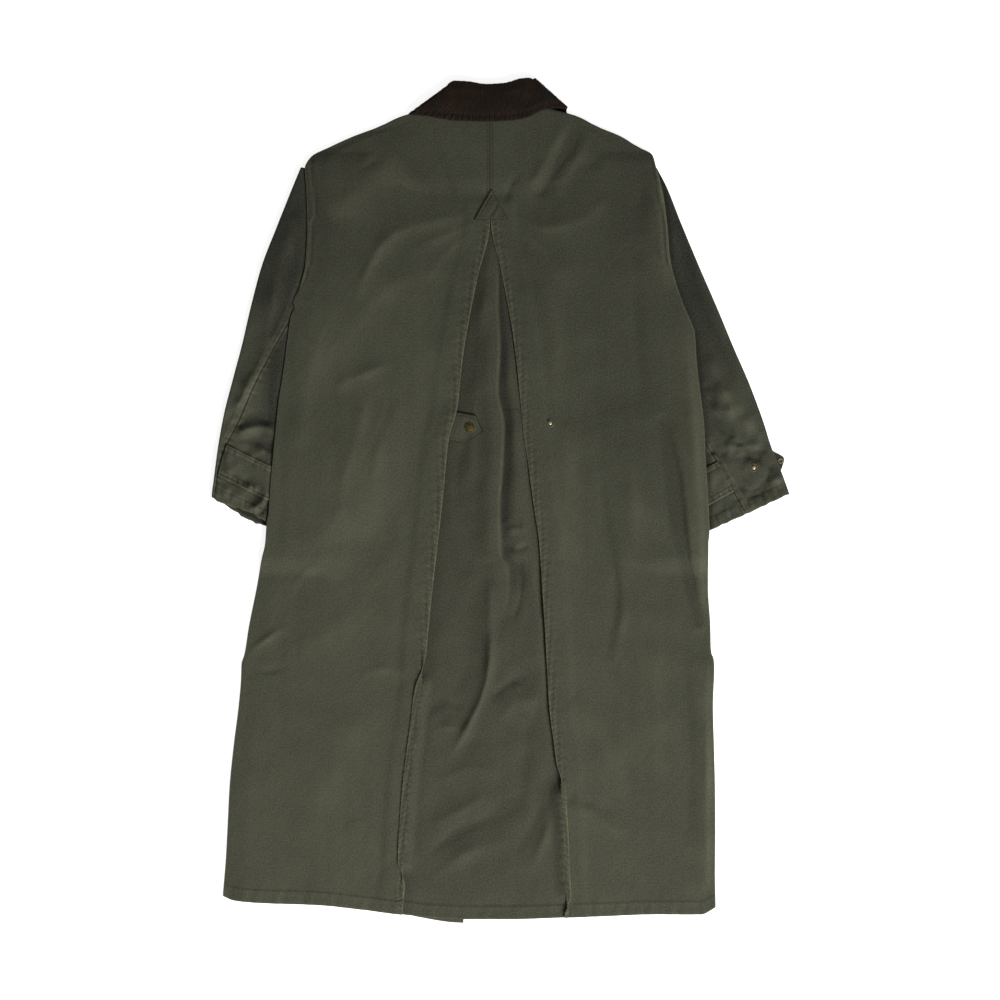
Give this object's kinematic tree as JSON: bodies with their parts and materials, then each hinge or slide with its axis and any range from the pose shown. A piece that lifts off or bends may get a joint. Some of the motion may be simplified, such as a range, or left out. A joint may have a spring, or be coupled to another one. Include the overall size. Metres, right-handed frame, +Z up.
{
  "type": "long coat laid flat",
  "caption": "Long straight coat of thick woven cloth, laid flat back up: ribbed fold-over collar, open centre-back pleat with patch and snap tab, folded sleeves with cuff straps.",
  "frame": {"origin": "middle of the coat's outline, on the surface that it lies on", "axes": "+Y from the hem to the collar, +X towards the wearer's right side (the coat lies on its front), +Z up out of the back"},
  "size_m": [0.8671, 1.2685, 0.0131],
  "materials": {
    "twill_body": "matt olive cotton twill, slightly faded at edges and folds",
    "twill_underlay": "matt olive cotton twill, less faded",
    "twill_sleeve": "matt olive cotton twill, darker",
    "corduroy": "dark brown needlecord with lighter worn edge",
    "brass_cap": "dull aged brass",
    "brass_stud": "dull aged brass, pale centre"
  },
  "bodies": {
    "root": {"front_left": "twill_body", "front_right": "twill_body", "pleat_underlay": "twill_underlay", "back_left": "twill_body", "back_right": "twill_body", "pleat_patch": "twill_body", "pleat_tab": "twill_body", "sleeve_left_top": "twill_sleeve", "sleeve_left_under": "twill_sleeve", "sleeve_right_top": "twill_sleeve", "sleeve_right_under": "twill_sleeve", "cuff_strap_left": "twill_sleeve", "cuff_strap_right": "twill_sleeve", "collar": "corduroy", "pleat_tab_snap": "brass_cap", "pleat_stud": "brass_stud", "cuff_stud_right": "brass_stud", "cuff_strap_snap_right": "brass_stud"}
  },
  "joints": []
}
